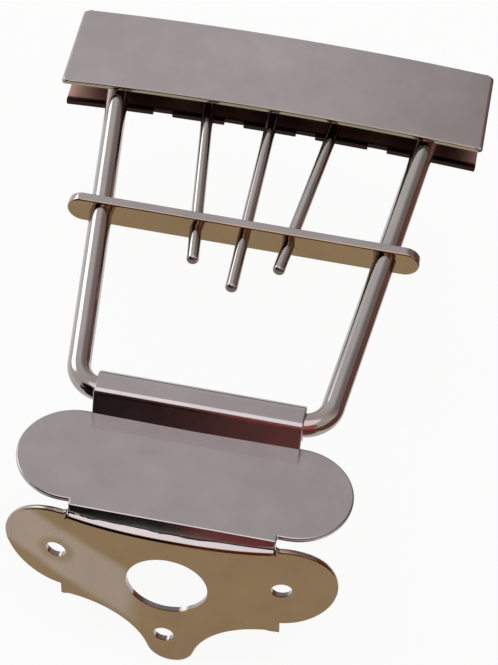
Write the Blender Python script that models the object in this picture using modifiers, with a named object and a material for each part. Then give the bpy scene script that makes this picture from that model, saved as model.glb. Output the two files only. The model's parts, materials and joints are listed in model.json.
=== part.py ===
"""Trapeze tailpiece for a bass guitar: a hinged rod frame with a string channel, on a bent end plate.

Metres, +Z up, +Y towards the bridge, +X to the right when seen from the tail.
Origin: centre of the strap-pin hole, on the back face of the end flange.
"""

import bpy
import bmesh
from math import acos, asin, atan2, ceil, cos, hypot, pi, radians, sin, sqrt, tan
from mathutils import Matrix, Vector

MM = 0.001

# Sheet metal and fits
SHEET = 1.2 * MM
BEND_INNER = 0.2 * MM
RELIEF = 0.15 * MM
CLEARANCE = 0.25 * MM
ARC_STEP = radians(11.25)

# Hinge plate: knuckle and oblong plate
KNUCKLE_HALF_WIDTH = 20.1 * MM
KNUCKLE_CORNER_RADIUS = 1.5 * MM
KNUCKLE_FOOT_RADIUS = 0.9 * MM
KNUCKLE_CURL = radians(195.0)
PLATE_TOP_BELOW_HINGE = 2.15 * MM
PLATE_HALF_LENGTH = 31.9 * MM
PLATE_DEPTH = 21.7 * MM

# Hinge plate: step, ledge and end flange
STEP_HALF_WIDTH = 19.4 * MM
STEP_DROP = 2.4 * MM
LEDGE_FLAT = 0.3 * MM
FLANGE_BEND_RADIUS = 1.5 * MM
FLANGE_CURVE_RADIUS = 160.0 * MM
FLANGE_STRIP = 3.0 * MM
STRAP_HOLE_RADIUS = 7.8 * MM
STRAP_HOLE_BELOW_HINGE = 19.0 * MM
SCREW_HOLE_RADIUS = 2.1 * MM
SIDE_SCREW_X = 21.5 * MM
SIDE_SCREW_ABOVE_HOLE = 3.5 * MM
LOWER_SCREW_BELOW_HOLE = 15.45 * MM
LOBE_RADIUS = 11.2 * MM
LOBE_INSET = 1.0 * MM
LOBE_RAISE = 0.8 * MM
LOBE_SLIT = 0.3 * MM
BARB_OFFSET = 0.7 * MM
BARB_BELOW_LOBE = 2.6 * MM
TONGUE_RADIUS = 4.65 * MM
TONGUE_BELOW_SCREW = 3.5 * MM
FLARE_RADIUS = 14.8 * MM

# Trapeze rod, in the trapeze's own frame: hinge axis along X, legs in the plane z = 0
ROD_RADIUS = 2.3 * MM
ROD_BEVEL_STEPS = 10
LEG_SPLAY = radians(6.62)
LEG_BEND_RADIUS = 5.9 * MM
LEG_BEND_INSET = 1.2 * MM
REST_LIFT = radians(6.0)

# Cross brace
BRACE_NEAR = 43.0 * MM
BRACE_THICKNESS = 2.2 * MM
BRACE_WALL = 0.65 * MM
BRACE_OVERHANG = 7.05 * MM

# Tines
TINE_RADIUS = 1.28 * MM
TINE_ROUNDING = 0.5 * MM
TINE_SPREAD = 13.3 * MM
TINE_SPLAY = radians(6.84)
MIDDLE_TINE_X = 0.3 * MM
LEFT_TINE_OVERHANG = 8.4 * MM
MIDDLE_TINE_OVERHANG = 13.8 * MM
RIGHT_TINE_OVERHANG = 7.4 * MM

# Cover plate and string rail
COVER_LENGTH = 90.0 * MM
COVER_DEPTH = 21.8 * MM
COVER_NEAR = 74.4 * MM
COVER_THICKNESS = 1.2 * MM
COVER_ROUNDING = 0.35 * MM
COVER_GAP = 0.5 * MM
ARCH_DROP = 1.65 * MM
ARCH_STEPS = 16
RAIL_END_SETBACK = 0.4 * MM
RAIL_SETBACK = 0.7 * MM
RAIL_SHEET = 1.3 * MM
RAIL_LIP_DEPTH = 3.0 * MM
ROD_END_GAP = 0.5 * MM
STRING_SPACING = 15.4 * MM
STRING_COUNT = 4
STRING_HOLE_RADIUS = 1.6 * MM
NOTCH_WIDTH = 4.1 * MM
NOTCH_DEPTH = 0.8 * MM


def flange_sag(x):
    """How far the curved end flange falls back from its middle at x."""
    return FLANGE_CURVE_RADIUS - sqrt(FLANGE_CURVE_RADIUS ** 2 - x ** 2)


# Places that follow from the hinge plate's sizes
KNUCKLE_OUTER = ROD_RADIUS + CLEARANCE + SHEET
STEP_RADIUS = BEND_INNER + SHEET / 2
FLANGE_RADIUS = FLANGE_BEND_RADIUS - SHEET / 2
LEDGE_DEPTH = STEP_RADIUS + LEDGE_FLAT + flange_sag(STEP_HALF_WIDTH) + FLANGE_RADIUS
HINGE_Y = KNUCKLE_OUTER + PLATE_DEPTH + LEDGE_DEPTH - SHEET
HINGE_Z = STRAP_HOLE_BELOW_HINGE
LOBE_X = SIDE_SCREW_X - LOBE_INSET
LOBE_Z = SIDE_SCREW_ABOVE_HOLE + LOBE_RAISE - STRAP_HOLE_BELOW_HINGE
TONGUE_Z = -STRAP_HOLE_BELOW_HINGE - LOWER_SCREW_BELOW_HOLE - TONGUE_BELOW_SCREW

# Places that follow from the trapeze's sizes
LEG_TURN = pi / 2 - LEG_SPLAY
LEG_BEND_START = KNUCKLE_HALF_WIDTH - LEG_BEND_INSET
LEG_CORNER_X = LEG_BEND_START + LEG_BEND_RADIUS * tan(LEG_TURN / 2)
ARCH_RADIUS = (COVER_LENGTH ** 2 / 4 + ARCH_DROP ** 2) / (2 * ARCH_DROP)
RAIL_LENGTH = COVER_LENGTH - 2 * RAIL_END_SETBACK
RAIL_NEAR = COVER_NEAR + RAIL_SETBACK
RAIL_FAR = COVER_NEAR + COVER_DEPTH - RAIL_SETBACK
ROD_END = RAIL_FAR - RAIL_LIP_DEPTH - ROD_END_GAP


def arch_drop(x):
    """How far the arched string bar falls below its middle at x."""
    return ARCH_RADIUS - sqrt(ARCH_RADIUS ** 2 - x ** 2)


def leg_x(y):
    """Distance of a leg's centre line from the middle at y in the trapeze frame."""
    return LEG_CORNER_X + tan(LEG_SPLAY) * y


BRACE_HEIGHT = 2 * (ROD_RADIUS + CLEARANCE + BRACE_WALL)
BRACE_HALF_LENGTH = leg_x(BRACE_NEAR) + BRACE_OVERHANG
RAIL_FLOOR = min(arch_drop(leg_x(RAIL_NEAR)) - ROD_RADIUS, -TINE_RADIUS) - CLEARANCE
RAIL_BOTTOM = RAIL_FLOOR - RAIL_SHEET
COVER_BOTTOM = arch_drop(leg_x(ROD_END)) + ROD_RADIUS + COVER_GAP
COVER_TOP = COVER_BOTTOM + COVER_THICKNESS
RAIL_TOP = COVER_BOTTOM - CLEARANCE


def arc(centre, radius, start, end):
    """Points of an arc in a plane, both ends included."""
    steps = max(2, ceil(abs(end - start) / ARC_STEP))
    angles = [start + (end - start) * i / steps for i in range(steps + 1)]
    return [(centre[0] + radius * cos(a), centre[1] + radius * sin(a)) for a in angles]


def clear_scene():
    for obj in list(bpy.data.objects):
        bpy.data.objects.remove(obj, do_unlink=True)


def new_collection(name):
    collection = bpy.data.collections.new(name)
    bpy.context.scene.collection.children.link(collection)
    return collection


def metal(name, colour, roughness):
    """Bright nickel plate with its own colour and roughness."""
    material = bpy.data.materials.new(name)
    material.use_nodes = True
    shader = material.node_tree.nodes["Principled BSDF"]
    shader.inputs["Base Color"].default_value = (*colour, 1.0)
    shader.inputs["Metallic"].default_value = 1.0
    shader.inputs["Roughness"].default_value = roughness
    return material


def place(obj, collection, parent=None):
    """Moves an object to its collection and under its parent."""
    for old in list(obj.users_collection):
        old.objects.unlink(obj)
    collection.objects.link(obj)
    obj.parent = parent
    return obj


def object_from_bmesh(name, bm):
    bmesh.ops.recalc_face_normals(bm, faces=bm.faces)
    mesh = bpy.data.meshes.new(name)
    bm.to_mesh(mesh)
    bm.free()
    return bpy.data.objects.new(name, mesh)


def smooth(obj):
    obj.data.shade_smooth()
    obj.data.set_sharp_from_angle(angle=radians(30))


def solid_from_curve(name, curve):
    """A closed mesh from a curve, its loose caps welded."""
    guide = bpy.data.objects.new(name + "_curve", curve)
    bpy.context.scene.collection.objects.link(guide)
    evaluated = guide.evaluated_get(bpy.context.evaluated_depsgraph_get())
    mesh = bpy.data.meshes.new_from_object(evaluated)
    mesh.name = name
    bpy.data.objects.remove(guide)
    bm = bmesh.new()
    bm.from_mesh(mesh)
    bmesh.ops.remove_doubles(bm, verts=bm.verts, dist=0.001 * MM)
    bmesh.ops.recalc_face_normals(bm, faces=bm.faces)
    bm.to_mesh(mesh)
    bm.free()
    return bpy.data.objects.new(name, mesh)


def cylinder(name, start, end, radius, sides=32):
    """A round bar between two points."""
    start = Vector(start)
    end = Vector(end)
    direction = end - start
    bpy.ops.mesh.primitive_cylinder_add(vertices=sides, radius=radius, depth=direction.length)
    obj = bpy.context.object
    obj.name = name
    obj.location = (start + end) / 2
    obj.rotation_euler = direction.to_track_quat("Z", "Y").to_euler()
    return obj


def block(name, low, high):
    """A box between two corners."""
    bpy.ops.mesh.primitive_cube_add(size=1.0)
    obj = bpy.context.object
    obj.name = name
    size = [b - a for a, b in zip(low, high)]
    middle = [(a + b) / 2 for a, b in zip(low, high)]
    obj.data.transform(Matrix.Translation(middle) @ Matrix.Diagonal((*size, 1.0)))
    return obj


def cut(obj, cutter, cutters, parent=None):
    """Cuts a piece with a hidden cutter."""
    place(cutter, cutters, parent)
    cutter.hide_render = True
    cutter.display_type = "WIRE"
    boolean = obj.modifiers.new("cut_" + cutter.name, "BOOLEAN")
    boolean.operation = "DIFFERENCE"
    boolean.solver = "EXACT"
    boolean.object = cutter


def rounded_edges(obj, width, segments):
    bevel = obj.modifiers.new("rounded_edges", "BEVEL")
    bevel.width = width
    bevel.segments = segments
    bevel.limit_method = "ANGLE"
    bevel.angle_limit = radians(40)


def knuckle_path():
    """Middle line of the knuckle in (y, z), from the plate up, over the rod and round beneath it."""
    middle = KNUCKLE_OUTER - SHEET / 2
    foot_radius = KNUCKLE_FOOT_RADIUS + SHEET / 2
    corner_radius = KNUCKLE_CORNER_RADIUS - SHEET / 2
    plate_z = -PLATE_TOP_BELOW_HINGE - SHEET / 2
    foot = arc((-middle - foot_radius, plate_z + foot_radius), foot_radius, -pi / 2, 0)
    corner = arc((-middle + corner_radius, middle - corner_radius), corner_radius, pi, pi / 2)
    curl = arc((0, 0), middle, pi / 2, pi / 2 - KNUCKLE_CURL)
    return foot + corner + curl


def step_path():
    """Middle line of the step in (y, z): down from the plate, along the ledge and down to the flange."""
    plate_z = -PLATE_TOP_BELOW_HINGE - SHEET / 2
    wall_y = -(KNUCKLE_OUTER + PLATE_DEPTH - SHEET / 2)
    flange_y = wall_y - LEDGE_DEPTH
    ledge_z = plate_z - STEP_DROP
    top = arc((wall_y + STEP_RADIUS, plate_z - STEP_RADIUS), STEP_RADIUS, pi / 2, pi)
    foot = arc((wall_y - STEP_RADIUS, ledge_z + STEP_RADIUS), STEP_RADIUS, 0, -pi / 2)
    bend = arc((flange_y + FLANGE_RADIUS, ledge_z - FLANGE_RADIUS), FLANGE_RADIUS, pi / 2, pi)
    return top + foot + bend


def plate_outline(knuckle_y, step_y):
    """Outline of the oblong plate in (x, y), with a relief notch at each side of both bends."""
    far = -KNUCKLE_OUTER
    radius = PLATE_DEPTH / 2
    end_x = PLATE_HALF_LENGTH - radius
    knuckle_x = KNUCKLE_HALF_WIDTH + RELIEF
    step_x = STEP_HALF_WIDTH + RELIEF
    start = acos(max(knuckle_x - end_x, 0.0) / radius)
    end = -acos(max(step_x - end_x, 0.0) / radius)
    round_end = arc((end_x, far - radius), radius, start, end)
    right = [(KNUCKLE_HALF_WIDTH, knuckle_y), (knuckle_x, round_end[0][1]), *round_end]
    right += [(step_x, round_end[-1][1]), (step_x, step_y), (STEP_HALF_WIDTH, step_y)]
    return right


def flange_outline(top_z):
    """Right half of the end flange's outline in (x, z), from the bend round the lobe to the tongue."""
    tongue = (0.0, TONGUE_Z)
    lobe_inner = STEP_HALF_WIDTH + LOBE_SLIT
    barb = (LOBE_X + BARB_OFFSET, LOBE_Z - LOBE_RADIUS - BARB_BELOW_LOBE)
    reach = TONGUE_RADIUS + FLARE_RADIUS
    span = hypot(barb[0] - tongue[0], barb[1] - tongue[1])
    along = atan2(barb[1] - tongue[1], barb[0] - tongue[0])
    spread = acos((reach ** 2 + span ** 2 - FLARE_RADIUS ** 2) / (2 * reach * span))
    flare = (reach * cos(along - spread), tongue[1] + reach * sin(along - spread))
    flare_start = atan2(barb[1] - flare[1], barb[0] - flare[0])
    flare_end = along - spread + pi
    inner = asin((lobe_inner - LOBE_X) / LOBE_RADIUS)
    outer = asin(BARB_OFFSET / LOBE_RADIUS)
    points = [(STEP_HALF_WIDTH, top_z), (lobe_inner, top_z)]
    points += arc((LOBE_X, LOBE_Z), LOBE_RADIUS, pi / 2 - inner, -pi / 2 + outer)
    points += [barb]
    points += arc(flare, FLARE_RADIUS, flare_start, flare_end)[1:]
    points += arc(tongue, TONGUE_RADIUS, along - spread, -pi / 2)[1:]
    return points


def curve_flange(bm, wall_y, ledge_y):
    """Cuts the flange and its bend into upright strips and curves them to the body's end."""
    strips = ceil((LOBE_X + LOBE_RADIUS) / FLANGE_STRIP)
    for index in range(-strips, strips + 1):
        faces = [face for face in bm.faces if face.calc_center_median().y < wall_y]
        edges = {edge for face in faces for edge in face.edges}
        verts = {vert for face in faces for vert in face.verts}
        bmesh.ops.bisect_plane(bm, geom=[*verts, *edges, *faces], plane_co=(index * FLANGE_STRIP, 0.0, 0.0),
                               plane_no=(1.0, 0.0, 0.0))
    for vert in bm.verts:
        if vert.co.y < ledge_y:
            vert.co.y += flange_sag(vert.co.x)


def make_hinge_plate(collection, cutters):
    """One sheet: knuckle, oblong plate, step, ledge and end flange, thickened from its middle surface."""
    bm = bmesh.new()
    knuckle = knuckle_path()
    step = step_path()

    def row(half_width, y, z):
        left = bm.verts.new((-half_width, HINGE_Y + y, HINGE_Z + z))
        right = bm.verts.new((half_width, HINGE_Y + y, HINGE_Z + z))
        return left, right

    def strip(half_width, path):
        rows = [row(half_width, y, z) for y, z in path]
        for first, second in zip(rows, rows[1:]):
            bm.faces.new((first[0], first[1], second[1], second[0]))
        return rows[0], rows[-1]

    knuckle_root, _ = strip(KNUCKLE_HALF_WIDTH, knuckle)
    step_root, flange_root = strip(STEP_HALF_WIDTH, step)

    plate_z = HINGE_Z - PLATE_TOP_BELOW_HINGE - SHEET / 2
    outline = plate_outline(knuckle[0][0], step[0][0])[1:-1]
    right = [bm.verts.new((x, HINGE_Y + y, plate_z)) for x, y in outline]
    left = [bm.verts.new((-x, HINGE_Y + y, plate_z)) for x, y in outline]
    bm.faces.new([knuckle_root[1], *right, step_root[1], step_root[0], *reversed(left), knuckle_root[0]])

    flange_y = HINGE_Y + step[-1][0]
    outline = flange_outline(step[-1][1])[1:]
    right = [bm.verts.new((x, flange_y, HINGE_Z + z)) for x, z in outline]
    left = [bm.verts.new((-x, flange_y, HINGE_Z + z)) for x, z in outline[:-1]]
    bm.faces.new([flange_root[1], *right, *reversed(left), flange_root[0]])
    bmesh.ops.remove_doubles(bm, verts=bm.verts, dist=0.001 * MM)
    wall_y = flange_y + LEDGE_DEPTH
    curve_flange(bm, wall_y + 0.01 * MM, wall_y - STEP_RADIUS - 0.01 * MM)

    plate = place(object_from_bmesh("hinge_plate", bm), collection)
    solidify = plate.modifiers.new("sheet_thickness", "SOLIDIFY")
    solidify.thickness = SHEET
    solidify.offset = 0.0
    solidify.use_even_offset = True
    back_y = flange_sag(LOBE_X + LOBE_RADIUS) + SHEET
    holes = [("strap_hole", 0.0, 0.0, STRAP_HOLE_RADIUS)]
    holes += [("left_screw_hole", -SIDE_SCREW_X, SIDE_SCREW_ABOVE_HOLE, SCREW_HOLE_RADIUS)]
    holes += [("right_screw_hole", SIDE_SCREW_X, SIDE_SCREW_ABOVE_HOLE, SCREW_HOLE_RADIUS)]
    holes += [("lower_screw_hole", 0.0, -LOWER_SCREW_BELOW_HOLE, SCREW_HOLE_RADIUS)]
    for name, x, z, radius in holes:
        cut(plate, cylinder(name, (x, -2 * SHEET, z), (x, back_y, z), radius), cutters)
    plate.data.materials.append(metal("plate_nickel", (0.60, 0.57, 0.56), 0.10))
    return plate


def make_trapeze_rod(collection, hinge):
    """One rod: two spread legs and a bottom run on the hinge axis, with round bends between them."""
    bend = arc((LEG_BEND_START, LEG_BEND_RADIUS), LEG_BEND_RADIUS, -LEG_SPLAY, -pi / 2)
    right = [(leg_x(ROD_END), ROD_END), *bend]
    path = right + [(-x, y) for x, y in reversed(right)]
    curve = bpy.data.curves.new("trapeze_rod", "CURVE")
    curve.dimensions = "3D"
    spline = curve.splines.new("POLY")
    spline.points.add(len(path) - 1)
    for point, (x, y) in zip(spline.points, path):
        point.co = (x, y, 0.0, 1.0)
    curve.bevel_depth = ROD_RADIUS
    curve.bevel_resolution = ROD_BEVEL_STEPS
    curve.use_fill_caps = True
    rod = place(solid_from_curve("trapeze_rod", curve), collection, hinge)
    smooth(rod)
    rod.data.materials.append(metal("rod_nickel", (0.62, 0.59, 0.58), 0.08))
    return rod


def tine_x(y, side):
    """Place of a tine's centre line at y: side is -1, 0 or 1."""
    if side == 0:
        return MIDDLE_TINE_X
    return side * (TINE_SPREAD + tan(TINE_SPLAY) * (y - COVER_NEAR))


def make_tines(collection, hinge):
    """Three thin rods with rounded ends, from the string rail through the cross brace to a free tip."""
    tines = [("tine_left", -1, LEFT_TINE_OVERHANG)]
    tines += [("tine_middle", 0, MIDDLE_TINE_OVERHANG)]
    tines += [("tine_right", 1, RIGHT_TINE_OVERHANG)]
    for name, side, overhang in tines:
        tip = BRACE_NEAR - overhang
        start = (tine_x(tip, side), tip, 0.0)
        end = (tine_x(ROD_END, side), ROD_END, 0.0)
        tine = place(cylinder(name, start, end, TINE_RADIUS, sides=20), collection, hinge)
        rounded_edges(tine, TINE_ROUNDING, 3)
        smooth(tine)
        tine.data.materials.append(metal(name + "_nickel", (0.60, 0.58, 0.57), 0.10))


def make_cross_brace(collection, cutters, hinge):
    """Flat bar on edge with full round ends, drilled for both legs and the three tines."""
    radius = BRACE_HEIGHT / 2
    end_x = BRACE_HALF_LENGTH - radius
    outline = arc((end_x, 0.0), radius, -pi / 2, pi / 2) + arc((-end_x, 0.0), radius, pi / 2, 3 * pi / 2)
    curve = bpy.data.curves.new("cross_brace", "CURVE")
    curve.dimensions = "2D"
    curve.fill_mode = "BOTH"
    curve.extrude = BRACE_THICKNESS / 2
    spline = curve.splines.new("POLY")
    spline.points.add(len(outline) - 1)
    for point, (x, y) in zip(spline.points, outline):
        point.co = (x, y, 0.0, 1.0)
    spline.use_cyclic_u = True
    brace = place(solid_from_curve("cross_brace", curve), collection, hinge)
    brace.data.transform(Matrix.Rotation(pi / 2, 4, "X"))
    middle = BRACE_NEAR + BRACE_THICKNESS / 2
    brace.data.transform(Matrix.Translation((0.0, middle, 0.0)))
    low = BRACE_NEAR - BRACE_THICKNESS
    high = BRACE_NEAR + 2 * BRACE_THICKNESS
    for side in (-1, 1):
        start = (side * leg_x(low), low, 0.0)
        end = (side * leg_x(high), high, 0.0)
        name = "left_leg_hole" if side < 0 else "right_leg_hole"
        cut(brace, cylinder(name, start, end, ROD_RADIUS + CLEARANCE), cutters, hinge)
    for side, name in ((-1, "left_tine_hole"), (0, "middle_tine_hole"), (1, "right_tine_hole")):
        start = (tine_x(low, side), low, 0.0)
        end = (tine_x(high, side), high, 0.0)
        cut(brace, cylinder(name, start, end, TINE_RADIUS + CLEARANCE, sides=24), cutters, hinge)
    brace.data.materials.append(metal("brace_nickel", (0.58, 0.54, 0.50), 0.12))
    return brace


def arched_bar(name, section, length):
    """Sweeps a closed (y, z) section along the arch of the string bar."""
    half_angle = asin(length / 2 / ARCH_RADIUS)
    centre = (0.0, 0.0, COVER_TOP - ARCH_RADIUS)
    bm = bmesh.new()
    verts = [bm.verts.new((0.0, y, z)) for y, z in section]
    face = bm.faces.new(verts)
    bmesh.ops.rotate(bm, verts=verts, cent=centre, matrix=Matrix.Rotation(-half_angle, 3, "Y"))
    geometry = [*bm.verts, *bm.edges, face]
    bmesh.ops.spin(bm, geom=geometry, cent=centre, axis=(0.0, 1.0, 0.0),
                   angle=2 * half_angle, steps=ARCH_STEPS, use_duplicate=False)
    return object_from_bmesh(name, bm)


def make_string_rail(collection, cutters, hinge):
    """Arched channel, open towards the tail: floor, back wall with string holes, and a short top lip."""
    wall = RAIL_FAR - RAIL_SHEET
    lip = RAIL_FAR - RAIL_LIP_DEPTH
    section = [(RAIL_NEAR, RAIL_BOTTOM), (RAIL_FAR, RAIL_BOTTOM), (RAIL_FAR, RAIL_TOP), (lip, RAIL_TOP)]
    section += [(lip, RAIL_TOP - RAIL_SHEET), (wall, RAIL_TOP - RAIL_SHEET)]
    section += [(wall, RAIL_FLOOR), (RAIL_NEAR, RAIL_FLOOR)]
    rail = place(arched_bar("string_rail", section, RAIL_LENGTH), collection, hinge)
    hole_z = (RAIL_FLOOR + RAIL_TOP - RAIL_SHEET) / 2
    for index in range(STRING_COUNT):
        x = (index - (STRING_COUNT - 1) / 2) * STRING_SPACING
        drop = arch_drop(x)
        start = (x, wall - RAIL_SHEET, hole_z - drop)
        end = (x, RAIL_FAR + RAIL_SHEET, hole_z - drop)
        name = "string_hole_" + str(index + 1)
        cut(rail, cylinder(name, start, end, STRING_HOLE_RADIUS, sides=20), cutters, hinge)
        low = (x - NOTCH_WIDTH / 2, RAIL_NEAR - RAIL_SHEET, RAIL_BOTTOM - drop - RAIL_SHEET)
        high = (x + NOTCH_WIDTH / 2, RAIL_NEAR + NOTCH_DEPTH, RAIL_FLOOR - drop + RAIL_SHEET)
        cut(rail, block("string_notch_" + str(index + 1), low, high), cutters, hinge)
    rail.data.materials.append(metal("rail_nickel", (0.55, 0.52, 0.50), 0.12))
    return rail


def make_cover_plate(collection, hinge):
    """Arched plate with rounded edges, on top of the string rail."""
    far = COVER_NEAR + COVER_DEPTH
    section = [(COVER_NEAR, COVER_BOTTOM), (far, COVER_BOTTOM), (far, COVER_TOP), (COVER_NEAR, COVER_TOP)]
    cover = place(arched_bar("cover_plate", section, COVER_LENGTH), collection, hinge)
    rounded_edges(cover, COVER_ROUNDING, 2)
    smooth(cover)
    cover.data.materials.append(metal("cover_nickel", (0.60, 0.57, 0.58), 0.12))
    return cover


clear_scene()
parts = new_collection("bass_trapeze_tailpiece")
cutters = new_collection("cutters")
hinge = bpy.data.objects.new("hinge_axis", None)
parts.objects.link(hinge)
hinge.location = (0.0, HINGE_Y, HINGE_Z)
hinge.rotation_euler = (REST_LIFT, 0.0, 0.0)

make_hinge_plate(parts, cutters)
make_trapeze_rod(parts, hinge)
make_cross_brace(parts, cutters, hinge)
make_tines(parts, hinge)
make_string_rail(parts, cutters, hinge)
make_cover_plate(parts, hinge)
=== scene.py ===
import json
import random
from math import acos, asin, atan2, ceil, cos, hypot, pi, radians, sin, sqrt, tan

import bmesh
import bpy
from mathutils import Matrix, Vector


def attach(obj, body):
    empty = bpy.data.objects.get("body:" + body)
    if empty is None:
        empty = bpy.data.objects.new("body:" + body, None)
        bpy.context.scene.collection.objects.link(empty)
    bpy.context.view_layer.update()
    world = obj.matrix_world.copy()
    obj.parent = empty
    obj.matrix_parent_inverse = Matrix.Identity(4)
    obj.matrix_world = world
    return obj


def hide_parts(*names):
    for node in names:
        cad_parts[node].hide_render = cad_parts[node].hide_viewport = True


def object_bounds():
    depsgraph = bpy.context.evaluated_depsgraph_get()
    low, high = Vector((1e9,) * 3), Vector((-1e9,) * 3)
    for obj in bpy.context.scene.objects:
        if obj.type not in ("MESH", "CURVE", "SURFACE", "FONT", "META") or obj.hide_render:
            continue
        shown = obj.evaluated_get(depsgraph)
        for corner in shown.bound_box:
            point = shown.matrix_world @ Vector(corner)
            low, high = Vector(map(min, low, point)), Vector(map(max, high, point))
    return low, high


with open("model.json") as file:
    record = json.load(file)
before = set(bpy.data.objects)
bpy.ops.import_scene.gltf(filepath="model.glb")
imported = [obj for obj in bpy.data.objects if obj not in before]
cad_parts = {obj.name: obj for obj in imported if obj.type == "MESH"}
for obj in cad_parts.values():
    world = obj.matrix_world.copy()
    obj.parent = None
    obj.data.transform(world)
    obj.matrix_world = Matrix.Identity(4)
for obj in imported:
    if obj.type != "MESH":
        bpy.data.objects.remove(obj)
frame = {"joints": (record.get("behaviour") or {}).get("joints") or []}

cad_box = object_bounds()
MM = 0.001
HINGE = Vector(frame["joints"][0]["pos_m"])
ALONG_X = (1.0, 0.0, 0.0)
ALONG_Y = (0.0, 1.0, 0.0)
ALONG_Z = (0.0, 0.0, 1.0)


# Hinge plate. One blank of brass sheet, stamped, folded and nickel plated: a knuckle rolled over the
# rod, an oblong plate, a step and ledge down, and an end flange with two lobes and a tongue, curved
# to the round end of the instrument and held there by the strap pin and three screws.
SHEET = 1.2 * MM
RELIEF = 0.15 * MM
ROD_RADIUS = 2.3 * MM
ROD_CLEARANCE = 0.25 * MM
KNUCKLE_HALF_WIDTH = 20.1 * MM
KNUCKLE_CORNER = 0.9 * MM
KNUCKLE_LEAN = radians(8.0)
KNUCKLE_CURL = radians(195.0)
KNUCKLE_OUTER = ROD_RADIUS + ROD_CLEARANCE + SHEET
PLATE_HALF_LENGTH = 31.9 * MM
PLATE_DEPTH = 21.7 * MM
PLATE_Z = -2.75 * MM
STEP_HALF_WIDTH = 19.4 * MM
STEP_DROP = 2.4 * MM
STEP_LEAN = radians(11.0)
STEP_FORWARD = 0.85 * MM
LEDGE_FLAT = 0.1 * MM
LEDGE_SLOPE = radians(27.0)
LEDGE_BEND = 0.5 * MM
FLANGE_BEND = 0.3 * MM
FOLD_DIP = 0.4 * MM
FOLD_RISE = 0.55 * MM
BEND_RIPPLE = 0.05 * MM
FLANGE_SAG = 3.17 * MM
FLANGE_SAG_POWER = 2.6
FLANGE_STRIP = 1.5 * MM
STRAP_HOLE = 7.8 * MM
SCREW_HOLE = 2.0 * MM
SIDE_SCREW = (21.5 * MM, 3.5 * MM)
LOWER_SCREW_BELOW = 15.45 * MM
LOBE_RADIUS = 10.9 * MM
LOBE = (20.8 * MM, -14.9 * MM)
LOBE_SLIT = 0.1 * MM
BARB = (21.2 * MM, -28.5 * MM)
TONGUE_RADIUS = 4.65 * MM
TONGUE_Z = -37.95 * MM
TONGUE_ASIDE = 1.6 * MM
FLARE_RADIUS = 14.8 * MM
EDGE_ROUNDING = 0.35 * MM
NEAR_ENOUGH = 0.002 * MM


def start_point(name, place):
    """Adds a plane at a place and merges it to one point, the start of a drawn outline."""
    bpy.ops.object.select_all(action="DESELECT")
    bpy.ops.mesh.primitive_plane_add(size=MM, location=place)
    obj = bpy.context.object
    obj.name = obj.data.name = name
    bpy.ops.object.transform_apply(location=True, rotation=True, scale=True)
    bpy.ops.object.mode_set(mode="EDIT")
    bpy.ops.mesh.select_mode(type="VERT")
    bpy.ops.mesh.merge(type="CENTER")
    return obj


def pull(x, y, z):
    """Extrudes what is selected in a straight line."""
    bpy.ops.mesh.extrude_region_move(TRANSFORM_OT_translate={"value": (x, y, z)})


def draw_to(place):
    """Extrudes the selected point in a straight line to a place."""
    shape = bmesh.from_edit_mesh(bpy.context.object.data)
    last = next(vert.co.copy() for vert in shape.verts if vert.select)
    pull(*(Vector(place) - last))


def turn(centre, axis, angle, steps):
    """Spins what is selected round an axis, right-handed."""
    bpy.ops.mesh.spin(steps=steps, angle=-angle, center=centre, axis=axis)


def pick(test, kind="VERT"):
    """Selects the points, edges or faces that have all their points where the test says."""
    bpy.ops.mesh.select_mode(type=kind)
    bpy.ops.mesh.select_all(action="DESELECT")
    shape = bmesh.from_edit_mesh(bpy.context.object.data)
    if kind == "VERT":
        chosen = [vert for vert in shape.verts if test(vert.co)]
    else:
        items = shape.edges if kind == "EDGE" else shape.faces
        chosen = [item for item in items if all(test(vert.co) for vert in item.verts)]
    for item in chosen:
        item.select_set(True)
    shape.select_flush_mode()
    bmesh.update_edit_mesh(bpy.context.object.data)


def near(value, target):
    return abs(value - target) < NEAR_ENOUGH


def put_on(obj, kind, **settings):
    """Adds a modifier to a piece and applies it."""
    bpy.context.view_layer.objects.active = obj
    modifier = obj.modifiers.new(kind.lower(), kind)
    for name, value in settings.items():
        setattr(modifier, name, value)
    bpy.ops.object.modifier_apply(modifier=modifier.name)


def clean():
    """Merges doubled points of the piece in edit mode and turns all its faces the same way."""
    bpy.ops.mesh.select_all(action="SELECT")
    bpy.ops.mesh.remove_doubles(threshold=NEAR_ENOUGH)
    bpy.ops.mesh.normals_make_consistent(inside=False)


def drill(obj, holes, sides):
    """Cuts round holes, each from a start to an end with a radius, through a piece."""
    for start, end, radius in holes:
        way = Vector(end) - Vector(start)
        bpy.ops.object.select_all(action="DESELECT")
        bpy.ops.mesh.primitive_cylinder_add(vertices=sides, radius=radius, depth=way.length,
                                            location=(Vector(start) + Vector(end)) / 2,
                                            rotation=way.to_track_quat("Z", "Y").to_euler())
        drill_bit = bpy.context.object
        put_on(obj, "BOOLEAN", object=drill_bit, operation="DIFFERENCE", solver="EXACT")
        bpy.data.objects.remove(drill_bit)
    bpy.ops.object.select_all(action="DESELECT")
    obj.select_set(True)
    bpy.context.view_layer.objects.active = obj


def round_edges(width, segments, keep=lambda place: False):
    """Rounds the sharp edges of the piece in edit mode, apart from those that the test keeps."""
    bpy.ops.mesh.select_mode(type="EDGE")
    bpy.ops.mesh.select_all(action="DESELECT")
    bpy.ops.mesh.edges_select_sharp(sharpness=radians(40.0))
    shape = bmesh.from_edit_mesh(bpy.context.object.data)
    for edge in shape.edges:
        if edge.select and all(keep(vert.co) for vert in edge.verts):
            edge.select_set(False)
    bmesh.update_edit_mesh(bpy.context.object.data)
    bpy.ops.mesh.bevel(offset=width, segments=segments, clamp_overlap=False)


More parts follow.
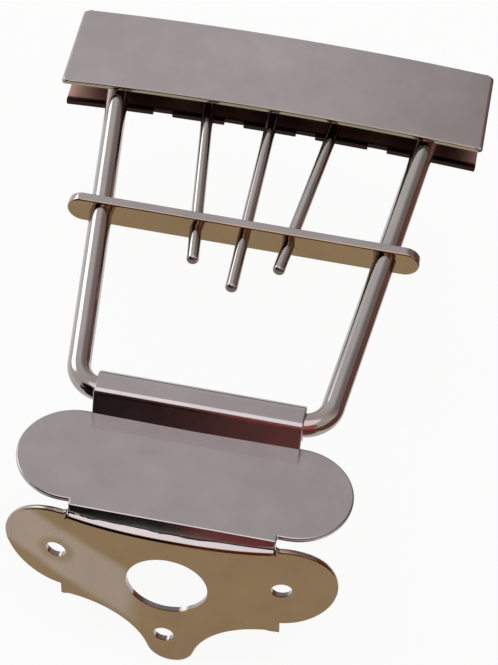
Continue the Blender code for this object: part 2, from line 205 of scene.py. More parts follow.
def finish_faces(obj):
    """Smooths a finished piece, with its flats kept flat."""
    bpy.ops.object.mode_set(mode="OBJECT")
    bpy.ops.object.select_all(action="DESELECT")
    obj.select_set(True)
    bpy.context.view_layer.objects.active = obj
    bpy.ops.object.shade_smooth_by_angle(angle=radians(32.0))
    put_on(obj, "WEIGHTED_NORMAL", keep_sharp=True)


def flange_sag(x):
    """How far the curved end flange falls back from its middle at x."""
    return FLANGE_SAG * (abs(x) / (LOBE[0] + LOBE_RADIUS)) ** FLANGE_SAG_POWER


far_y = HINGE.y - KNUCKLE_OUTER
plate_z = HINGE.z + PLATE_Z
end_x = PLATE_HALF_LENGTH - PLATE_DEPTH / 2
knuckle_middle = KNUCKLE_OUTER - SHEET / 2
corner = Vector((0.0, HINGE.y - knuckle_middle + KNUCKLE_CORNER, HINGE.z + knuckle_middle - KNUCKLE_CORNER))
wall_top = corner + KNUCKLE_CORNER * Vector((0.0, -cos(KNUCKLE_LEAN), sin(KNUCKLE_LEAN)))
knuckle_y = wall_top.y - (wall_top.z - plate_z) * tan(KNUCKLE_LEAN)
step_y = far_y - PLATE_DEPTH - STEP_FORWARD
ledge_y = step_y - STEP_DROP * tan(STEP_LEAN)
ledge_z = plate_z - STEP_DROP
flange_y = -SHEET / 2
slope_y = ledge_y - LEDGE_FLAT
slope_start = Vector((0.0, slope_y - LEDGE_BEND * sin(LEDGE_SLOPE), ledge_z - LEDGE_BEND * (1 - cos(LEDGE_SLOPE))))
slope_run = slope_start.y - flange_y - FLANGE_BEND * (1 - sin(LEDGE_SLOPE))
flange_top = slope_start.z - slope_run * tan(LEDGE_SLOPE) - FLANGE_BEND * cos(LEDGE_SLOPE)

hinge_plate = start_point("folded_hinge_plate", (0.0, knuckle_y, plate_z))
draw_to((KNUCKLE_HALF_WIDTH, knuckle_y, plate_z))
draw_to((KNUCKLE_HALF_WIDTH + RELIEF, far_y, plate_z))
draw_to((end_x, far_y, plate_z))
turn((end_x, far_y - PLATE_DEPTH / 2, plate_z), ALONG_Z, -pi, 48)
draw_to((STEP_HALF_WIDTH + RELIEF, far_y - PLATE_DEPTH, plate_z))
draw_to((STEP_HALF_WIDTH, far_y - PLATE_DEPTH, plate_z))
draw_to((STEP_HALF_WIDTH, step_y, plate_z))
draw_to((0.0, step_y, plate_z))
bpy.ops.mesh.select_all(action="SELECT")
bpy.ops.mesh.edge_face_add()

pick(lambda p: near(p.y, knuckle_y), "EDGE")
pull(*(wall_top - Vector((0.0, knuckle_y, plate_z))))
turn(corner, ALONG_X, KNUCKLE_LEAN - pi / 2, 6)
pull(0.0, HINGE.y - corner.y, 0.0)
turn(HINGE, ALONG_X, -KNUCKLE_CURL, 26)

pick(lambda p: near(p.y, step_y) and p.x < STEP_HALF_WIDTH + NEAR_ENOUGH, "EDGE")
pull(0.0, ledge_y - step_y, ledge_z - plate_z)
pull(0.0, -LEDGE_FLAT, 0.0)
turn((0.0, slope_y, ledge_z - LEDGE_BEND), ALONG_X, LEDGE_SLOPE, 4)
pull(0.0, -slope_run / 2, -slope_run / 2 * tan(LEDGE_SLOPE))
pull(0.0, -slope_run / 2, -slope_run / 2 * tan(LEDGE_SLOPE))
turn((0.0, flange_y + FLANGE_BEND, flange_top), ALONG_X, pi / 2 - LEDGE_SLOPE, 4)

reach = TONGUE_RADIUS + FLARE_RADIUS
span = hypot(BARB[0], BARB[1] - TONGUE_Z)
tongue_turn = atan2(BARB[1] - TONGUE_Z, BARB[0])
tongue_turn -= acos((reach ** 2 + span ** 2 - FLARE_RADIUS ** 2) / (2 * reach * span))
flare = (reach * cos(tongue_turn), TONGUE_Z + reach * sin(tongue_turn))
flare_turn = tongue_turn + pi - atan2(BARB[1] - flare[1], BARB[0] - flare[0])
lobe_inner = STEP_HALF_WIDTH + LOBE_SLIT
lobe_start = asin((lobe_inner - LOBE[0]) / LOBE_RADIUS)
lobe_end = asin((BARB[0] - LOBE[0]) / LOBE_RADIUS)
lobe_z = HINGE.z + LOBE[1]
pick(lambda p: near(p.y, flange_y) and near(p.x, STEP_HALF_WIDTH))
draw_to((lobe_inner, flange_y, flange_top))
draw_to((lobe_inner, flange_y, lobe_z + LOBE_RADIUS * cos(lobe_start)))
turn((LOBE[0], flange_y, lobe_z), ALONG_Y, pi - lobe_start - lobe_end, 48)
draw_to((BARB[0], flange_y, HINGE.z + BARB[1]))
turn((flare[0], flange_y, HINGE.z + flare[1]), ALONG_Y, -flare_turn, 24)
turn((0.0, flange_y, HINGE.z + TONGUE_Z), ALONG_Y, pi / 2 + tongue_turn, 20)
pick(lambda p: near(p.y, flange_y))
bpy.ops.mesh.edge_face_add()

for strip in range(1, ceil((LOBE[0] + LOBE_RADIUS) / FLANGE_STRIP)):
    pick(lambda p: p.y < step_y + NEAR_ENOUGH, "FACE")
    bpy.ops.mesh.bisect(plane_co=(strip * FLANGE_STRIP, 0.0, 0.0), plane_no=ALONG_X)
bpy.ops.object.mode_set(mode="OBJECT")
put_on(hinge_plate, "MIRROR", use_mirror_merge=True, merge_threshold=NEAR_ENOUGH)
bpy.ops.object.mode_set(mode="EDIT")
clean()

# The flange and its ledge are pressed round the end of the instrument, point by point of the sheet:
# the fold dips in its middle and rises at its ends, its slope keeps the ripple of the press, and the
# tongue leans a little to one side.
press = random.Random(11)
ripple = {strip: press.uniform(-BEND_RIPPLE, BEND_RIPPLE) for strip in range(-22, 23)}
below = [vert.co.copy() for vert in bmesh.from_edit_mesh(hinge_plate.data).verts if vert.co.y < ledge_y + NEAR_ENOUGH]
for spot in sorted({tuple(round(value / NEAR_ENOUGH) for value in place) for place in below}):
    x, y, z = [value * NEAR_ENOUGH for value in spot]
    share = (ledge_y - y) / (ledge_y - flange_y)
    aside = TONGUE_ASIDE * max(0.0, (lobe_z - z) / (lobe_z - cad_box[0].z))
    lift = 0.0
    if abs(x) < lobe_inner + NEAR_ENOUGH and flange_top - 2 * NEAR_ENOUGH < z:
        lift = FOLD_RISE * (x / STEP_HALF_WIDTH) ** 2 - FOLD_DIP + share * flange_sag(x) * tan(LEDGE_SLOPE)
        if flange_y + FLANGE_BEND < y < slope_y:
            lift += ripple[round(x / FLANGE_STRIP)]
    pick(lambda p: all(round(p[axis] / NEAR_ENOUGH) == spot[axis] for axis in range(3)))
    bpy.ops.transform.translate(value=(aside, share * flange_sag(x), lift))
bpy.ops.object.mode_set(mode="OBJECT")
put_on(hinge_plate, "SOLIDIFY", thickness=SHEET, offset=0.0, use_even_offset=True)


def at_corner(p):
    """True in the narrow slits beside the bends, at the barbs and along the inner foot of the knuckle's wall."""
    in_slit = STEP_HALF_WIDTH - NEAR_ENOUGH < abs(p.x) < lobe_inner + NEAR_ENOUGH and p.y < step_y + SHEET / 2
    in_relief = KNUCKLE_HALF_WIDTH - NEAR_ENOUGH < abs(p.x) < KNUCKLE_HALF_WIDTH + 2 * RELIEF and p.y > knuckle_y - SHEET
    at_barb = abs(abs(p.x) - BARB[0]) < 1.5 * SHEET and abs(p.z - HINGE.z - BARB[1]) < 1.5 * SHEET
    at_foot = near(p.z, plate_z + SHEET / 2) and far_y - SHEET < p.y and abs(p.x) < KNUCKLE_HALF_WIDTH
    return in_slit or (in_relief and p.z < plate_z + SHEET) or at_barb or at_foot


bpy.ops.object.mode_set(mode="EDIT")
round_edges(EDGE_ROUNDING, 3, keep=at_corner)
bpy.ops.object.mode_set(mode="OBJECT")
front = -2 * SHEET
back = flange_sag(LOBE[0] + LOBE_RADIUS) + SHEET
holes = [(0.0, 0.0, STRAP_HOLE), (-SIDE_SCREW[0], SIDE_SCREW[1], SCREW_HOLE), (*SIDE_SCREW, SCREW_HOLE),
         (0.0, -LOWER_SCREW_BELOW, SCREW_HOLE)]
drill(hinge_plate, [((x, front, z), (x, back, z), radius) for x, z, radius in holes], 96)
finish_faces(hinge_plate)


def linear(hex_colour):
    """Turns an sRGB hex colour into linear values."""
    values = [int(hex_colour[i:i + 2], 16) / 255 for i in (1, 3, 5)]
    return [v / 12.92 if v <= 0.04045 else ((v + 0.055) / 1.055) ** 2.4 for v in values] + [1.0]


def add_node(tree, kind, inputs, **properties):
    """Adds a node with its properties, its input values and its links from other nodes."""
    node = tree.nodes.new(kind)
    for name, value in properties.items():
        setattr(node, name, value)
    for name, value in inputs.items():
        if isinstance(value, bpy.types.NodeSocket):
            tree.links.new(value, node.inputs[name])
        else:
            node.inputs[name].default_value = value
    return node


def blend(tree, low, high, start, end, value):
    """Mixes from one colour to another as a value goes from its start to its end."""
    level = add_node(tree, "ShaderNodeMapRange", {"Value": value, "From Min": start, "From Max": end},
                     interpolation_type="SMOOTHSTEP").outputs[0]
    return add_node(tree, "ShaderNodeMix", {0: level, 6: low, 7: high}, data_type="RGBA").outputs[2]


def painted_front_tone(front_paint, bright, start, end):
    """Nickel with a darker, warmer front painted on, between two places along the piece's Y. On front faces this is a
    painted reflection of the warm, dark room in front.
    """
    def tone(tree, flat):
        depth = add_node(tree, "ShaderNodeSeparateXYZ", {"Vector": flat}).outputs["Y"]
        return blend(tree, linear(front_paint), linear(bright), start, end, depth)
    return tone


def plate_tone(tree, flat):
    """Tone of the hinge plate: bright, with a painted reflection of a brown table on the flange's face, paler in a
    band across its left.
    """
    x, y, z = add_node(tree, "ShaderNodeSeparateXYZ", {"Vector": flat}).outputs
    band_noise = add_node(tree, "ShaderNodeTexNoise", {"Vector": flat, "Scale": 1 / BAND_NOISE_SIZE, "Detail": 3.0}).outputs[0]
    level = add_node(tree, "ShaderNodeMath", {0: x, 1: BAND_SLANT, 2: z}, operation="MULTIPLY_ADD").outputs[0]
    wavy = add_node(tree, "ShaderNodeMath", {0: band_noise, 1: BAND_WAVE, 2: level}, operation="MULTIPLY_ADD").outputs[0]
    # Painted reflection: warm brown on the flange's face, with a paler wavy band of it across the left.
    front_paint, pale = linear("#887051"), linear("#9D8C7B")
    face = blend(tree, front_paint, pale, -14.5 * MM, -11.5 * MM, wavy)
    face = blend(tree, face, front_paint, -1.0 * MM, 2.0 * MM, wavy)
    face = blend(tree, face, front_paint, -9.0 * MM, -4.0 * MM, x)
    screw = add_node(tree, "ShaderNodeVectorMath", {0: flat, 1: (-SIDE_SCREW[0], 0.0, SIDE_SCREW[1])},
                     operation="DISTANCE").outputs["Value"]
    face = blend(tree, linear("#8D7A60"), face, 1.3 * SCREW_HOLE, 2.2 * SCREW_HOLE, screw)
    aside = add_node(tree, "ShaderNodeMath", {0: x}, operation="ABSOLUTE").outputs[0]
    across = add_node(tree, "ShaderNodeMath", {0: aside, 1: LOBE[0] + LOBE_RADIUS}, operation="DIVIDE").outputs[0]
    sag = add_node(tree, "ShaderNodeMath", {0: across, 1: FLANGE_SAG_POWER}, operation="POWER").outputs[0]
    depth = add_node(tree, "ShaderNodeMath", {0: sag, 1: -FLANGE_SAG, 2: y}, operation="MULTIPLY_ADD").outputs[0]
    return blend(tree, face, linear("#AAA4A4"), flange_y - 0.35 * SHEET, flange_y - 0.15 * SHEET, depth)


def polished_nickel(name, tone, place, lift, grain, gloss):
    """Electroplated nickel over buffed metal, a little aged. It gives the eye a soft warm mirror.

    Tone is a function that adds the nodes of the piece's colour, painted reflection and shade included. Place and
    lift bring the pattern to the piece's frame, grain is the way it was buffed, and gloss is its least roughness.
    """
    material = bpy.data.materials.new(name)
    material.use_nodes = True
    tree = material.node_tree
    shader = tree.nodes["Principled BSDF"]
    coordinates = tree.nodes.new("ShaderNodeTexCoord").outputs["Object"]
    flat = add_node(tree, "ShaderNodeMapping", {"Vector": coordinates, "Location": place,
                                                "Rotation": (lift, 0.0, 0.0)}, vector_type="TEXTURE").outputs[0]
    tone = tone(tree, flat)
    clouds = add_node(tree, "ShaderNodeTexNoise", {"Vector": flat, "Scale": 1 / CLOUD, "Detail": 3.0,
                                                   "Roughness": 0.55}).outputs[0]
    cloudy = add_node(tree, "ShaderNodeMapRange", {"Value": clouds, "From Min": 0.3, "From Max": 0.7,
                                                   "To Min": 0.93, "To Max": 1.05}).outputs[0]
    clouded = add_node(tree, "ShaderNodeVectorMath", {0: tone, 3: cloudy}, operation="SCALE").outputs[0]
    stretched = add_node(tree, "ShaderNodeVectorMath", {0: flat, 1: grain}, operation="MULTIPLY").outputs[0]
    lines = add_node(tree, "ShaderNodeTexNoise", {"Vector": stretched, "Scale": 1 / BUFF_LINE,
                                                  "Detail": 2.0}).outputs[0]
    specks = add_node(tree, "ShaderNodeTexVoronoi", {"Vector": flat, "Scale": 1 / SPECK_SPACING}).outputs["Distance"]
    speck = add_node(tree, "ShaderNodeMapRange", {"Value": specks, "From Min": 0.03, "From Max": 0.08,
                                                  "To Min": 0.85, "To Max": 1.0}).outputs[0]
    colour = add_node(tree, "ShaderNodeVectorMath", {0: clouded, 3: speck}, operation="SCALE").outputs[0]
    tree.links.new(colour, shader.inputs["Base Color"])
    smudge = add_node(tree, "ShaderNodeMath", {0: clouds, 1: 0.06, 2: gloss}, operation="MULTIPLY_ADD").outputs[0]
    rough = add_node(tree, "ShaderNodeMath", {0: lines, 1: 0.05, 2: smudge}, operation="MULTIPLY_ADD").outputs[0]
    tree.links.new(rough, shader.inputs["Roughness"])
    peel = add_node(tree, "ShaderNodeTexNoise", {"Vector": flat, "Scale": 1 / PEEL, "Detail": 1.0}).outputs[0]
    waves = add_node(tree, "ShaderNodeBump", {"Height": peel, "Distance": PEEL_HEIGHT, "Strength": 1.0}).outputs[0]
    marks = add_node(tree, "ShaderNodeBump", {"Height": lines, "Distance": BUFF_DEPTH, "Strength": 1.0,
                                              "Normal": waves}).outputs[0]
    tree.links.new(marks, shader.inputs["Normal"])
    shader.inputs["Metallic"].default_value = 1.0
    return material


# Buffing leaves lines some 0.02 mm apart. They are drawn at 0.2 mm, the finest that shows.
BUFF_LINE = 0.2 * MM
BUFF_DEPTH = 0.0006 * MM
PEEL = 5.0 * MM
PEEL_HEIGHT = 0.008 * MM
CLOUD = 9.0 * MM
BAND_NOISE_SIZE = 16.0 * MM
BAND_SLANT = 0.57
BAND_WAVE = 5.0 * MM
SPECK_SPACING = 2.6 * MM
ALONG_WIDTH = (0.04, 1.0, 1.0)
ALONG_LEGS = (1.0, 0.04, 1.0)
NO_SHIFT = (0.0, 0.0, 0.0)
SATIN = 0.08
MIRROR_BRIGHT = 0.06
DULL = 0.30
hinge_plate.data.materials.append(polished_nickel(
    "polished_nickel_sheet", plate_tone, NO_SHIFT, 0.0, ALONG_WIDTH, SATIN))
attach(hinge_plate, "base")
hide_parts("hinge_plate")


# Trapeze rod. One round rod of nickel-plated steel, bent twice round a former: its straight run turns
# in the knuckle, and its two legs spread towards the bridge and end inside the string rail.
LEG_SPLAY = radians(6.62)
LEG_BEND = 5.9 * MM
LEG_BEND_START = 18.9 * MM
REST_LIFT = radians(6.0)
ROD_END = 92.0 * MM
ROD_SIDES = 48
leg_corner = LEG_BEND_START + LEG_BEND * tan((pi / 2 - LEG_SPLAY) / 2)


def leg_x(y):
    """Distance of a leg's centre line from the middle at y, seen along the trapeze."""
    return leg_corner + tan(LEG_SPLAY) * y


def start_ring(name, place, rotation, radius, sides):
    """Adds an open ring, the section that a rod is drawn out from."""
    bpy.ops.object.select_all(action="DESELECT")
    bpy.ops.mesh.primitive_circle_add(vertices=sides, radius=radius, location=place, rotation=rotation)
    obj = bpy.context.object
    obj.name = obj.data.name = name
    bpy.ops.object.transform_apply(location=True, rotation=True, scale=True)
    bpy.ops.object.mode_set(mode="EDIT")
    return obj


def close_end():
    """Fills the selected open ring."""
    bpy.ops.mesh.edge_face_add()


def hang_on_hinge(obj):
    """Moves a piece modelled flat, with the hinge axis on X, to its place at rest."""
    bpy.ops.object.mode_set(mode="OBJECT")
    bpy.ops.object.select_all(action="DESELECT")
    obj.select_set(True)
    bpy.context.view_layer.objects.active = obj
    obj.location = HINGE
    obj.rotation_euler = (REST_LIFT, 0.0, 0.0)
    bpy.ops.object.transform_apply(location=True, rotation=True, scale=True)


leg_top = Vector((leg_x(ROD_END), ROD_END, 0.0))
bend_centre = Vector((LEG_BEND_START, LEG_BEND, 0.0))
leg_foot = bend_centre + LEG_BEND * Vector((cos(LEG_SPLAY), -sin(LEG_SPLAY), 0.0))
rod = start_ring("bent_trapeze_rod", leg_top, (pi / 2, 0.0, -LEG_SPLAY), ROD_RADIUS, ROD_SIDES)
close_end()
pick(lambda p: True, "EDGE")
pull(*(leg_foot - leg_top))
turn(bend_centre, ALONG_Z, LEG_SPLAY - pi / 2, 20)
pull(-2 * LEG_BEND_START, 0.0, 0.0)
turn((-LEG_BEND_START, LEG_BEND, 0.0), ALONG_Z, LEG_SPLAY - pi / 2, 20)
pull(leg_foot.x - leg_top.x, leg_top.y - leg_foot.y, 0.0)
close_end()
clean()
round_edges(0.4 * MM, 3)
hang_on_hinge(rod)
finish_faces(rod)
# The rod's run through the knuckle is painted a darker, warmer tone.
rod.data.materials.append(polished_nickel(
    "polished_nickel_rod", painted_front_tone("#A39A94", "#B0ACAB", 0.0, LEG_BEND), HINGE, REST_LIFT, ALONG_LEGS,
    MIRROR_BRIGHT))
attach(rod, "trapeze")
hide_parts("trapeze_rod")


# Cross brace. A flat bar of brass on edge with full round ends, drilled for both legs and the three
# tines, which are pressed and soldered in it, and nickel plated.
BRACE_NEAR = 43.0 * MM
BRACE_THICKNESS = 2.2 * MM
BRACE_WALL = 0.65 * MM
BRACE_OVERHANG = 7.05 * MM
BRACE_ROUNDING = 0.4 * MM
SOLDERED_GAP = 0.02 * MM
TINE_RADIUS = 1.28 * MM
TINE_SPREAD = 13.3 * MM
TINE_SPLAY = radians(6.84)
MIDDLE_TINE_X = 0.3 * MM
COVER_NEAR = 74.4 * MM


def tine_x(y, side):
    """Place of a tine's centre line at y: side is -1, 0 or 1."""
    if side == 0:
        return MIDDLE_TINE_X
    return side * (TINE_SPREAD + tan(TINE_SPLAY) * (y - COVER_NEAR))


brace_radius = ROD_RADIUS + ROD_CLEARANCE + BRACE_WALL
brace_end = leg_x(BRACE_NEAR) + BRACE_OVERHANG - brace_radius
brace = start_point("drilled_cross_brace", (brace_end, BRACE_NEAR, -brace_radius))
turn((brace_end, BRACE_NEAR, 0.0), ALONG_Y, -pi, 32)
pull(-2 * brace_end, 0.0, 0.0)
turn((-brace_end, BRACE_NEAR, 0.0), ALONG_Y, -pi, 32)
bpy.ops.mesh.select_all(action="SELECT")
bpy.ops.mesh.edge_face_add()
pull(0.0, BRACE_THICKNESS, 0.0)
clean()
round_edges(BRACE_ROUNDING, 3)
bpy.ops.object.mode_set(mode="OBJECT")
low = BRACE_NEAR - BRACE_THICKNESS
high = BRACE_NEAR + 2 * BRACE_THICKNESS
drill(brace, [((side * leg_x(low), low, 0.0), (side * leg_x(high), high, 0.0), ROD_RADIUS + SOLDERED_GAP)
              for side in (-1, 1)], 2 * ROD_SIDES)
drill(brace, [((tine_x(low, side), low, 0.0), (tine_x(high, side), high, 0.0), TINE_RADIUS + SOLDERED_GAP)
              for side in (-1, 0, 1)], 2 * ROD_SIDES)
hang_on_hinge(brace)
finish_faces(brace)
# The bar's front face is painted warm brown: a painted reflection of the table in front.
brace.data.materials.append(polished_nickel(
    "polished_nickel_bar", painted_front_tone("#887153", "#AAA4A4", BRACE_NEAR + BRACE_ROUNDING / 3,
                                      BRACE_NEAR + BRACE_ROUNDING),
    HINGE, REST_LIFT, ALONG_WIDTH, MIRROR_BRIGHT))
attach(brace, "trapeze")
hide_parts("cross_brace")


# Tines. Three thin round rods of nickel-plated steel with rounded ends, held by the string rail and
# the cross brace, that reach past the brace as a rest for the strings' tied ends.
TINE_SIDES = 32
TIP_ROUNDING = 0.8 * MM
for side, place, overhang in ((-1, "left", 8.4 * MM), (0, "middle", 13.8 * MM), (1, "right", 7.4 * MM)):
    tip_y = BRACE_NEAR - overhang
    tip = Vector((tine_x(tip_y, side), tip_y, 0.0))
    root = Vector((tine_x(ROD_END, side), ROD_END, 0.0))
    tine = start_ring("rounded_tine_" + place, tip, (pi / 2, 0.0, -side * TINE_SPLAY), TINE_RADIUS, TINE_SIDES)
    close_end()
    pick(lambda p: True, "EDGE")
    pull(*(root - tip))
    close_end()
    clean()
    round_edges(TIP_ROUNDING, 4)
    hang_on_hinge(tine)
    finish_faces(tine)
    # The rounded tips are painted a darker, warmer tone.
    tine.data.materials.append(polished_nickel(
        "polished_nickel_tine_" + place, painted_front_tone("#6B625A", "#B0ACAB", tip_y, tip_y + TIP_ROUNDING),
        HINGE, REST_LIFT, ALONG_LEGS, MIRROR_BRIGHT))
    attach(tine, "trapeze")
    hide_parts("tine_" + place)


# String rail. One strip of brass sheet folded to a channel that opens towards the tail and arched
# along its length: a floor with four notches for the strings, a back wall with four holes for them,
# and a short top lip that carries the cover.
COVER_LENGTH = 90.0 * MM
COVER_DEPTH = 21.8 * MM
COVER_THICKNESS = 1.2 * MM
COVER_GAP = 0.5 * MM
ARCH_DROP = 1.65 * MM
ARCH_STEPS = 24
RAIL_LENGTH = 89.2 * MM
RAIL_NEAR = 75.1 * MM
RAIL_FAR = 95.5 * MM
RAIL_SHEET = 1.3 * MM
RAIL_BEND = 0.9 * MM
RAIL_LIP_DEPTH = 3.0 * MM
RAIL_GAP = 0.25 * MM
RAIL_ROUNDING = 0.15 * MM
STRING_SPACING = 15.4 * MM
STRING_HOLE = 1.6 * MM
NOTCH_WIDTH = 4.1 * MM
NOTCH_DEPTH = 0.8 * MM
arch_radius = (COVER_LENGTH ** 2 / 4 + ARCH_DROP ** 2) / (2 * ARCH_DROP)


def arch_drop(x):
    """How far the arched string bar falls below its middle at x."""
    return arch_radius - sqrt(arch_radius ** 2 - x ** 2)


def sweep_both_ways(length):
    """Spins the section drawn at the middle out to both ends of the arch."""
    half_angle = asin(length / 2 / arch_radius)
    for angle in (half_angle, -half_angle):
        pick(lambda p: near(p.x, 0.0), "EDGE")
        turn(arch_centre, ALONG_Y, angle, ARCH_STEPS)


rail_floor = min(arch_drop(leg_x(RAIL_NEAR)) - ROD_RADIUS, -TINE_RADIUS) - RAIL_GAP
cover_bottom = arch_drop(leg_x(ROD_END)) + ROD_RADIUS + COVER_GAP
rail_top = cover_bottom - RAIL_GAP
arch_centre = Vector((0.0, 0.0, cover_bottom + COVER_THICKNESS - arch_radius))
floor_z = rail_floor - RAIL_SHEET / 2
lip_z = rail_top - RAIL_SHEET / 2
back_y = RAIL_FAR - RAIL_SHEET / 2
rail = start_point("folded_string_rail", (0.0, RAIL_NEAR, floor_z))
draw_to((0.0, back_y - RAIL_BEND, floor_z))
turn((0.0, back_y - RAIL_BEND, floor_z + RAIL_BEND), ALONG_X, pi / 2, 6)
draw_to((0.0, back_y, lip_z - RAIL_BEND))
turn((0.0, back_y - RAIL_BEND, lip_z - RAIL_BEND), ALONG_X, pi / 2, 6)
draw_to((0.0, RAIL_FAR - RAIL_LIP_DEPTH, lip_z))
sweep_both_ways(RAIL_LENGTH)
clean()
bpy.ops.object.mode_set(mode="OBJECT")
put_on(rail, "SOLIDIFY", thickness=RAIL_SHEET, offset=0.0, use_even_offset=True)
hole_z = (rail_floor + rail_top - RAIL_SHEET) / 2
string_places = [(index - 1.5) * STRING_SPACING for index in range(4)]
drill(rail, [((x, RAIL_FAR - 2 * RAIL_SHEET, hole_z - arch_drop(x)),
              (x, RAIL_FAR + RAIL_SHEET, hole_z - arch_drop(x)), STRING_HOLE) for x in string_places], 32)
for x in string_places:
    bpy.ops.object.select_all(action="DESELECT")
    bpy.ops.mesh.primitive_cube_add(size=1.0, location=(x, RAIL_NEAR, floor_z - arch_drop(x)),
                                    scale=(NOTCH_WIDTH, 2 * NOTCH_DEPTH, 3 * RAIL_SHEET))
    punch = bpy.context.object
    put_on(rail, "BOOLEAN", object=punch, operation="DIFFERENCE", solver="EXACT")
    bpy.data.objects.remove(punch)
rail.select_set(True)
bpy.context.view_layer.objects.active = rail
bpy.ops.object.mode_set(mode="EDIT")
round_edges(RAIL_ROUNDING, 2)
hang_on_hinge(rail)
finish_faces(rail)
# The floor's front edge, under the cover, is painted near black: painted shade.
rail.data.materials.append(polished_nickel(
    "nickel_plated_channel", painted_front_tone("#2C1C18", "#C09C90", RAIL_NEAR + NOTCH_DEPTH, RAIL_NEAR + 2 * NOTCH_DEPTH),
    HINGE, REST_LIFT, ALONG_WIDTH, DULL))
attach(rail, "trapeze")
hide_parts("string_rail")


# Cover plate. A long strip of thick brass sheet, arched like the rail, its edges broken and polished,
# soldered on the rail's lip and nickel plated with it.
COVER_CORNER = 0.9 * MM
COVER_ROUNDING = 0.34 * MM
COVER_END_ROUNDING = 0.85 * MM
cover = start_point("arched_cover_plate", (0.0, COVER_NEAR, cover_bottom))
pull(0.0, COVER_DEPTH, 0.0)
pull(0.0, 0.0, COVER_THICKNESS)
pull(0.0, -COVER_DEPTH, 0.0)
pull(0.0, 0.0, -COVER_THICKNESS)
bpy.ops.mesh.select_all(action="SELECT")
bpy.ops.mesh.remove_doubles(threshold=NEAR_ENOUGH)
sweep_both_ways(COVER_LENGTH)
for side in (-1, 1):
    pick(lambda p: side * p.x > COVER_LENGTH / 2 - COVER_THICKNESS, "EDGE")
    bpy.ops.mesh.edge_face_add()
clean()
pick(lambda p: abs(p.x) > COVER_LENGTH / 2 - COVER_THICKNESS, "EDGE")
corners = bmesh.from_edit_mesh(cover.data)
end_middle_z = sum(vert.co.z for vert in corners.verts if vert.co.x > COVER_LENGTH / 2 - COVER_CORNER) / 4
for edge in corners.edges:
    if edge.select and edge.calc_length() > 2 * COVER_THICKNESS:
        edge.select_set(False)
bmesh.update_edit_mesh(cover.data)
bpy.ops.mesh.bevel(offset=COVER_CORNER, segments=5, clamp_overlap=False)
pick(lambda p: abs(p.x) > COVER_LENGTH / 2 - 1.2 * COVER_CORNER and p.z > end_middle_z, "EDGE")
bpy.ops.mesh.bevel(offset=COVER_END_ROUNDING, segments=6, clamp_overlap=False)
round_edges(COVER_ROUNDING, 4)
hang_on_hinge(cover)
finish_faces(cover)
# The cover's front face is painted warm olive: a painted reflection of the table in front.
cover.data.materials.append(polished_nickel(
    "polished_nickel_cover", painted_front_tone("#8E8774", "#AFA9AA", COVER_NEAR + COVER_ROUNDING / 2,
                                        COVER_NEAR + COVER_ROUNDING),
    HINGE, REST_LIFT, ALONG_WIDTH, SATIN))
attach(cover, "trapeze")
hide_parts("cover_plate")


# Studio. A plain pale floor just under the tongue, soft light all round, and the camera where the
# photograph was taken from.
scene = bpy.context.scene
scene.view_settings.view_transform = "Standard"
world = bpy.data.worlds.new("studio")
scene.world = world
world.use_nodes = True
tree = world.node_tree
way = tree.nodes.new("ShaderNodeTexCoord").outputs["Generated"]
height = add_node(tree, "ShaderNodeSeparateXYZ", {"Vector": way}).outputs["Z"]
rise = add_node(tree, "ShaderNodeMapRange", {"Value": height, "From Min": 0.0, "From Max": 0.9}).outputs[0]
light = add_node(tree, "ShaderNodeMix", {0: rise, 6: linear("#ECE9E6"), 7: linear("#E6E2E2")},
                 data_type="RGBA").outputs[2]
# Each card: the way it lies in, its colour and brightness, and the angles of its full and faded edge
cards = [((0.62, 0.60, 0.50), "#9A8C86", 1.0, 14.0, 46.0),
         ((0.86, 0.50, 0.08), "#7D5149", 1.0, 10.0, 28.0),
         ((-0.80, 0.36, 0.50), "#FFFFFF", 3.0, 13.0, 20.0),
         ((0.00, -1.00, 0.12), "#2A1A18", 1.0, 14.0, 20.0),
         ((0.28, -0.84, 0.46), "#D2807A", 1.0, 22.0, 26.0),
         ((-0.47, -0.75, 0.46), "#0A0606", 1.0, 21.5, 27.0),
         ((0.00, -0.36, 1.0), "#F8F4F6", 1.9, 25.0, 29.0)]
for place, hue, strength, full, faded in cards:
    facing = add_node(tree, "ShaderNodeVectorMath", {0: way, 1: Vector(place).normalized()},
                      operation="DOT_PRODUCT").outputs["Value"]
    seen = add_node(tree, "ShaderNodeMapRange", {"Value": facing, "From Min": cos(radians(faded)),
                                                 "From Max": cos(radians(full))},
                    interpolation_type="SMOOTHSTEP").outputs[0]
    shade = [part * strength for part in linear(hue)]
    light = add_node(tree, "ShaderNodeMix", {0: seen, 6: light, 7: shade}, data_type="RGBA").outputs[2]
tree.links.new(light, tree.nodes["Background"].inputs["Color"])

FLOOR_SIZE = 3.0
FLOOR_BELOW = 0.4 * MM
bpy.ops.object.select_all(action="DESELECT")
bpy.ops.mesh.primitive_plane_add(size=FLOOR_SIZE, location=(0.0, 0.0, cad_box[0].z - FLOOR_BELOW))
floor = bpy.context.object
floor.name = "studio_floor"
bpy.ops.object.transform_apply(location=True, rotation=True, scale=True)
paper = bpy.data.materials.new("white_paper_floor")
paper.use_nodes = True
tree = paper.node_tree
shader = tree.nodes["Principled BSDF"]
shader.inputs["Base Color"].default_value = linear("#F6F4F3")
shader.inputs["Roughness"].default_value = 0.8
rays = tree.nodes.new("ShaderNodeLightPath")
first = add_node(tree, "ShaderNodeMath", {0: rays.outputs["Is Camera Ray"], 1: rays.outputs["Is Glossy Ray"]},
                 operation="MAXIMUM").outputs[0]
shown = add_node(tree, "ShaderNodeMath", {0: first, 1: rays.outputs["Is Transmission Ray"]},
                 operation="MAXIMUM").outputs[0]
part_white = add_node(tree, "ShaderNodeMath", {0: shown, 1: 0.9}, operation="MULTIPLY").outputs[0]
white = add_node(tree, "ShaderNodeEmission", {"Color": linear("#FFFFFF"), "Strength": 1.0}).outputs[0]
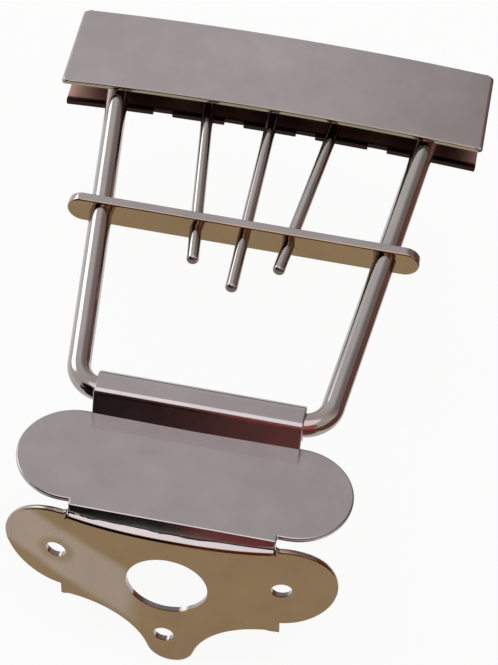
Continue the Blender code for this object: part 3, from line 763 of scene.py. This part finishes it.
mixed = add_node(tree, "ShaderNodeMixShader", {0: part_white, 1: shader.outputs[0], 2: white}).outputs[0]
tree.links.new(mixed, tree.nodes["Material Output"].inputs["Surface"])
floor.data.materials.append(paper)

# Two dark cards stand on the floor, to the right and in front, for the metal to reflect. They give the
# rods and the step the dark side of a photograph in a room, and neither shade the object nor hide it.
for name, size, turned, place, hues in (
        ("right_card", (0.5, 0.06), pi / 2, (0.085, 0.11), ("#8A6055", "#8A6055")),
        ("front_card", (0.3, 0.06), 0.0, (0.0, -0.05), ("#0B0707", "#A85C5A"))):
    bpy.ops.object.select_all(action="DESELECT")
    bpy.ops.mesh.primitive_plane_add(size=1.0, rotation=(pi / 2, 0.0, turned),
                                     location=(*place, cad_box[0].z + size[1] / 2))
    card = bpy.context.object
    card.name = name
    card.scale = (*size, 1.0)
    bpy.ops.object.transform_apply(location=True, rotation=True, scale=True)
    card.visible_camera = card.visible_diffuse = card.visible_shadow = False
    card_paper = bpy.data.materials.new("paper_of_" + name)
    card_paper.use_nodes = True
    tree = card_paper.node_tree
    aside = add_node(tree, "ShaderNodeSeparateXYZ", {"Vector": tree.nodes.new("ShaderNodeTexCoord").outputs[3]}).outputs[0]
    tree.links.new(blend(tree, linear(hues[0]), linear(hues[1]), -8.0 * MM, 4.0 * MM, aside),
                   tree.nodes["Principled BSDF"].inputs["Base Color"])
    tree.nodes["Principled BSDF"].inputs["Roughness"].default_value = 0.9
    card.data.materials.append(card_paper)

camera_data = bpy.data.cameras.new("camera")
camera = bpy.data.objects.new("camera", camera_data)
scene.collection.objects.link(camera)
scene.camera = camera
camera_data.sensor_width = 36.0
camera_data.lens = 117.16
camera_data.clip_start = 0.01
forward = Vector((-0.0758, 0.6817, -0.7277))
right = forward.cross(Vector((-0.1715, 0.7101, 0.6829))).normalized()
turned = (right, right.cross(forward).normalized(), -forward.normalized())
camera_place = HINGE + Vector((37.81, -268.54, 309.52)) * MM
camera.matrix_world = Matrix.Translation(camera_place) @ Matrix(turned).transposed().to_4x4()
